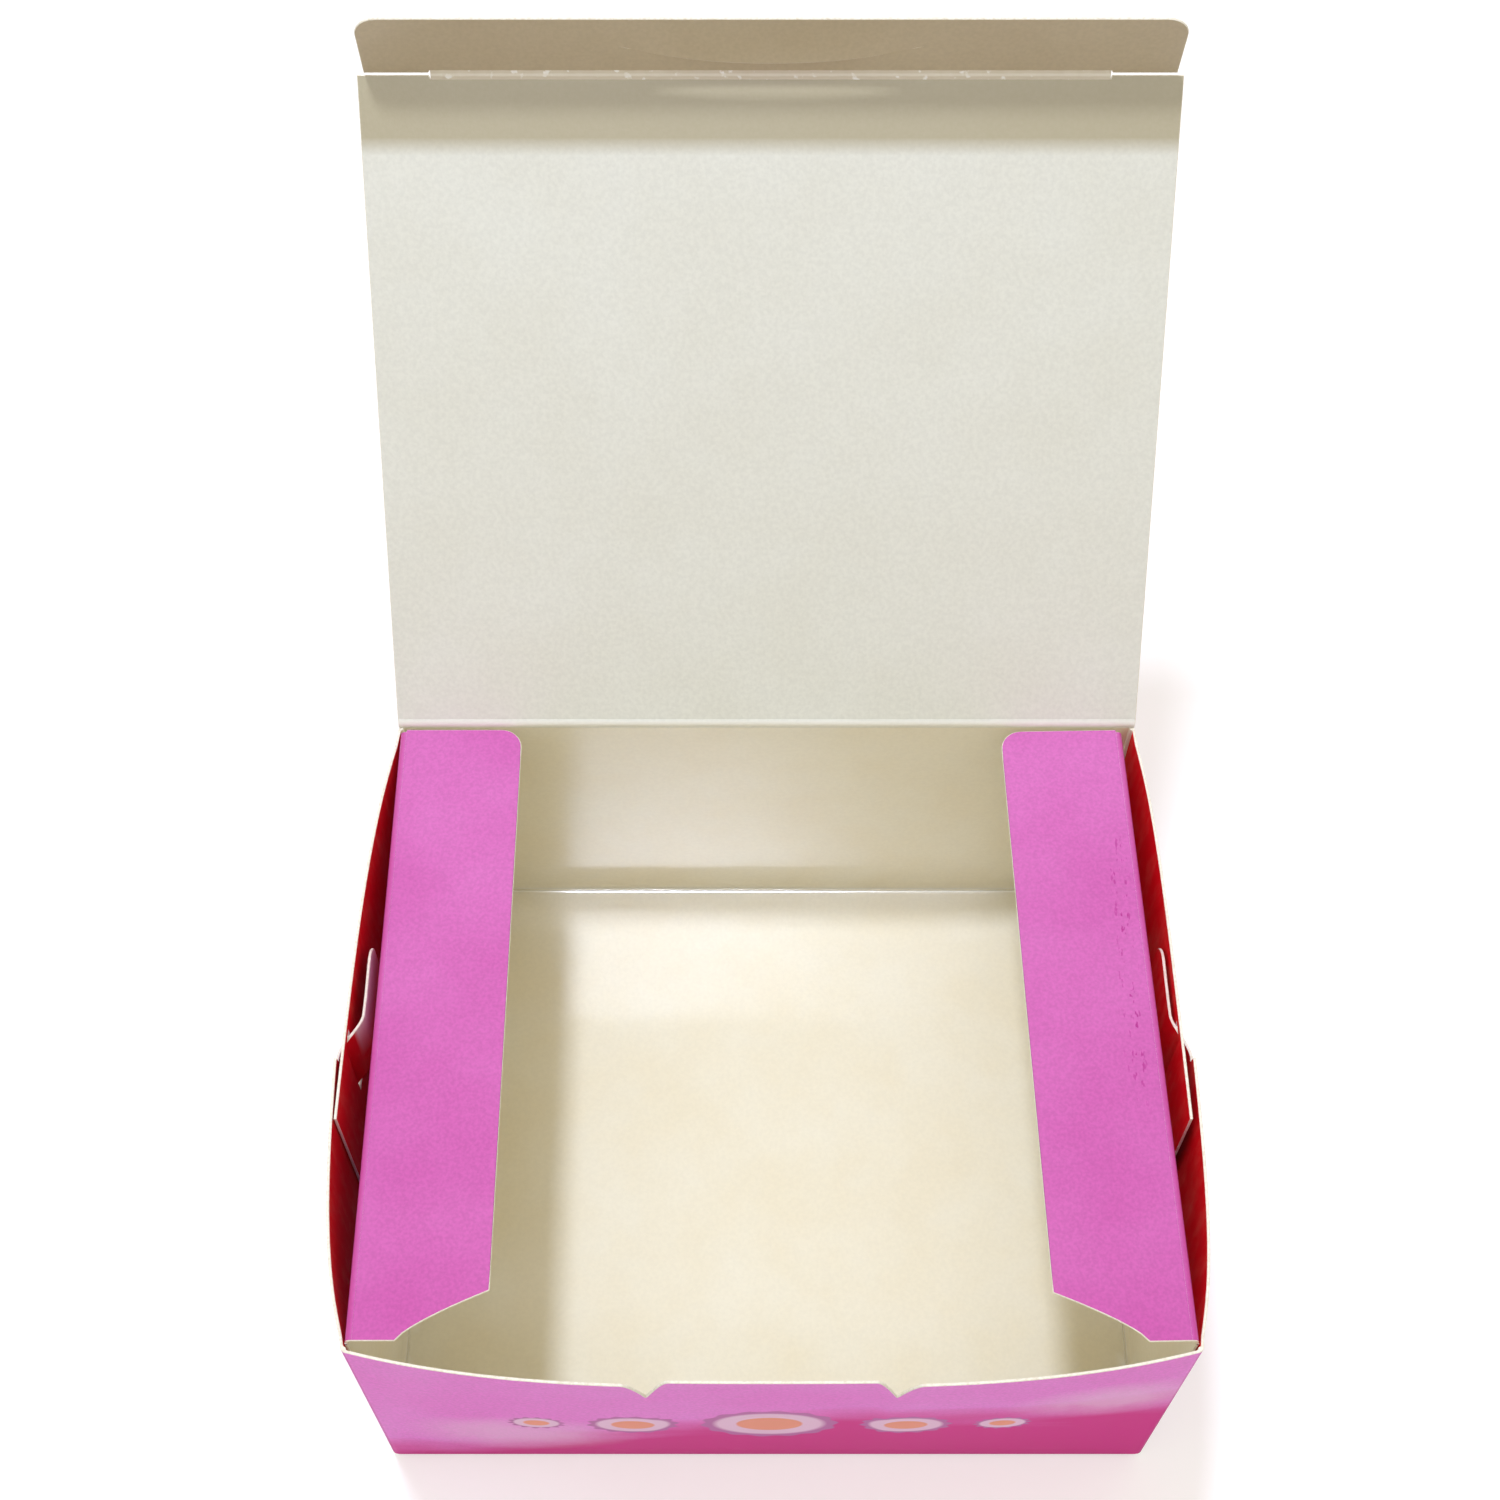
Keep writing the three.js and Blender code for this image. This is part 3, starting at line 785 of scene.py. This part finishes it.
# Painted highlight: the crinkled ridge along the middle of the crease is mixed towards pale cream.
ridge_painted_highlight = torn_add("ShaderNodeAttribute", attribute_name="crease").outputs["Fac"]
ridge_painted_highlight = stretch(torn_add, ridge_painted_highlight, 0.8, 1.0, 0.0, 0.7)
torn_tone = colour_mix(torn_add, ridge_painted_highlight, torn_tone, (0.93, 0.90, 0.82, 1))
torn_tree.links.new(torn_tone, torn_shader.inputs["Base Color"])
torn_tree.links.new(fibre_bump(torn_add, torn_coords, 0.8, 900), torn_shader.inputs["Normal"])
torn_shader.inputs["Roughness"].default_value = 0.8
tuck_strip = crease_strip(
    "tuck_crease", np.linspace(-tuck_crease_half, tuck_crease_half, 241),
    lambda x: lid_point(x, lid_length - crease_reach),
    lambda x: lid_point(x, lid_length),
    lambda x: tuck_point(x, crease_reach),
    [print_pink, torn_board, cut_edge], -lid_inward, 0.12 * mm, crinkle,
)
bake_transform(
    tuck_strip, "lid", "tuck",
    start=tuple(lid_point(0, lid_length - crease_reach)), end=tuple(tuck_point(0, crease_reach)),
)

# The dust flaps: one on each side wall's top crease, folded in level under the lid. Their printed
# face is uppermost. The front end is cut on a slope to clear the tuck flap, the back corner is round.
flap_width = 23 * mm
flap_front = 0.3 * mm
flap_back = 117.8 * mm
flap_lead = 8 * mm
flap_slope = 8.4 * mm
flap_corner = 4 * mm


def flap_front_edge(across):
    share = max(0.0, (across - flap_lead) / (flap_width - flap_lead))
    return flap_front + flap_slope * share ** 0.75


def flap_back_edge(across):
    past = max(0.0, across - (flap_width - flap_corner))
    return flap_back - flap_corner + math.sqrt(max(0.0, flap_corner ** 2 - past ** 2))


for name, side in sides.items():
    sign = side["sign"]
    skew = math.atan2(side["lean"], 2 * side_end)
    flap_along = Vector((-sign * math.sin(skew), math.cos(skew), 0))
    flap_inward = Vector((-sign * math.cos(skew), -math.sin(skew), 0))
    flap_pivot = Vector((sign * side_mid, -side_end, dust_crease_z))

    def flap_point(across, along):
        return flap_pivot + flap_inward * across + flap_along * along

    columns = []
    lead_in = np.linspace(crease_reach, flap_lead, 5)
    slope = flap_lead + (flap_width - flap_corner - flap_lead) * np.linspace(0, 1, 10)[1:]
    corner = flap_width - flap_corner * (1 - np.sin(np.linspace(0, 1, 9)[1:] * math.pi / 2))
    for across in np.concatenate([lead_in, slope, corner]):
        ends = flap_front_edge(across), flap_back_edge(across)
        columns.append([flap_point(across, along) for along in np.linspace(*ends, 31)])
    flap_sheet = bmesh.new()
    add_grid(flap_sheet, columns, joined=lambda i, j: i == 0)
    flap = give_thickness(
        f"{name}_flap_board", flap_sheet, flap_point(flap_width / 2, flap_back / 2), (0, 0, 1),
        [print_pink, cream_inside, cut_edge],
    )
    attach(flap, f"{name}_flap")
    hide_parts(f"{name}_dust_flap")
    below_crease = Vector((0, 0, -crease_reach))
    strip = crease_strip(
        f"{name}_flap_crease", np.linspace(flap_front, flap_back - 0.4 * mm, 31),
        lambda along: flap_point(0, along) + below_crease,
        lambda along: flap_point(0, along),
        lambda along: flap_point(crease_reach, along),
        [print_pink, cream_inside, cut_edge], (sign, 0, 1), 0.08 * mm,
    )
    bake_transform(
        strip, "tray", f"{name}_flap",
        start=tuple(flap_point(0, 0) + below_crease), end=tuple(flap_point(crease_reach, 0)),
    )

# The table under the box: a wide, level, matt top. It is plain and pale, so that it reads as white
# and keeps the box's shadow.
floor_mesh = bpy.data.meshes.new("table_top")
floor_mesh.from_pydata([(-3, -3, 0), (3, -3, 0), (3, 3, 0), (-3, 3, 0)], [], [(0, 1, 2, 3)])
floor = bpy.data.objects.new("table_top", floor_mesh)
bpy.context.scene.collection.objects.link(floor)
floor_material, floor_tree, floor_shader, floor_add = shader_tree("pale_table")
floor_shader.inputs["Base Color"].default_value = (0.6, 0.6, 0.6, 1)
floor_shader.inputs["Roughness"].default_value = 0.7
seen = floor_add("ShaderNodeLightPath")
looked_at = seen.outputs["Is Camera Ray"]
for ray in ("Is Glossy Ray", "Is Transmission Ray"):
    either = {0: looked_at, 1: seen.outputs[ray]}
    looked_at = floor_add("ShaderNodeMath", either, operation="MAXIMUM").outputs[0]
floor_shader.inputs["Emission Color"].default_value = (1, 1, 1, 1)
floor_tree.links.new(times(floor_add, looked_at, 0.45), floor_shader.inputs["Emission Strength"])
floor_mesh.materials.append(floor_material)

# Light: a soft pale room, a small lamp high up and slightly behind to the left, and a window in
# front whose reflection shows on the coated bottom near the back wall.
world = bpy.data.worlds.new("room")
bpy.context.scene.world = world
world.use_nodes = True
world_nodes = world.node_tree.nodes
world_links = world.node_tree.links
backdrop = world_nodes["Background"]
heading = world_nodes.new("ShaderNodeTexCoord")
height = world_nodes.new("ShaderNodeSeparateXYZ")
world_links.new(heading.outputs["Generated"], height.inputs[0])
brighter = world_nodes.new("ShaderNodeMapRange")
world_links.new(height.outputs["Z"], brighter.inputs[0])
for socket, value in enumerate((0.0, 0.9, 0.50, 0.88), start=1):
    brighter.inputs[socket].default_value = value
room_ray = world_nodes.new("ShaderNodeLightPath")
shown = room_ray.outputs["Is Camera Ray"]
for ray in ("Is Glossy Ray", "Is Transmission Ray"):
    either = world_nodes.new("ShaderNodeMath")
    either.operation = "MAXIMUM"
    world_links.new(shown, either.inputs[0])
    world_links.new(room_ray.outputs[ray], either.inputs[1])
    shown = either.outputs[0]
strength = world_nodes.new("ShaderNodeMix")
world_links.new(shown, strength.inputs[0])
world_links.new(brighter.outputs[0], strength.inputs[2])
strength.inputs[3].default_value = 1
world_links.new(strength.outputs[0], backdrop.inputs["Strength"])
tint = world_nodes.new("ShaderNodeMix")
tint.data_type = "RGBA"
world_links.new(shown, tint.inputs[0])
tint.inputs[6].default_value = (1.0, 0.93, 0.77, 1)
tint.inputs[7].default_value = (1, 1, 1, 1)
world_links.new(tint.outputs[2], backdrop.inputs["Color"])


def lamp(name, towards, distance, size, power, aim=(0, 0, 0.03), diffuse=True, glossy=True):
    """A round area lamp that stands in the given direction from the box and shines at it."""
    data = bpy.data.lights.new(name, "AREA")
    data.shape = "DISK"
    data.size = size
    data.energy = power
    data.color = (0.88, 0.95, 1.16)
    light = bpy.data.objects.new(name, data)
    light.location = Vector(aim) + Vector(towards).normalized() * distance
    light.rotation_euler = (Vector(aim) - light.location).to_track_quat("-Z", "Y").to_euler()
    light.visible_diffuse = diffuse
    light.visible_glossy = glossy
    bpy.context.scene.collection.objects.link(light)


lamp("ceiling_lamp", (-0.125, 0.14, 0.98), 1.5, 0.16, 11.5, glossy=False)
lamp("window", (-0.05, -0.44, 0.90), 1.6, 0.3, 45, diffuse=False)

# The camera stands where the photograph was taken from: in front, a little left of the middle, and
# looking down steeply from above the open box.
bpy.context.scene.view_settings.view_transform = "Standard"
camera_data = bpy.data.cameras.new("camera")
camera_data.sensor_width = 36
camera_data.lens = 53.33
camera_data.shift_x = 0.0095
camera = bpy.data.objects.new("camera", camera_data)
camera.location = (-5.9 * mm, -165.7 * mm, 425.2 * mm)
camera.rotation_euler = (math.radians(31.54), 0, 0)
bpy.context.scene.collection.objects.link(camera)
bpy.context.scene.camera = camera
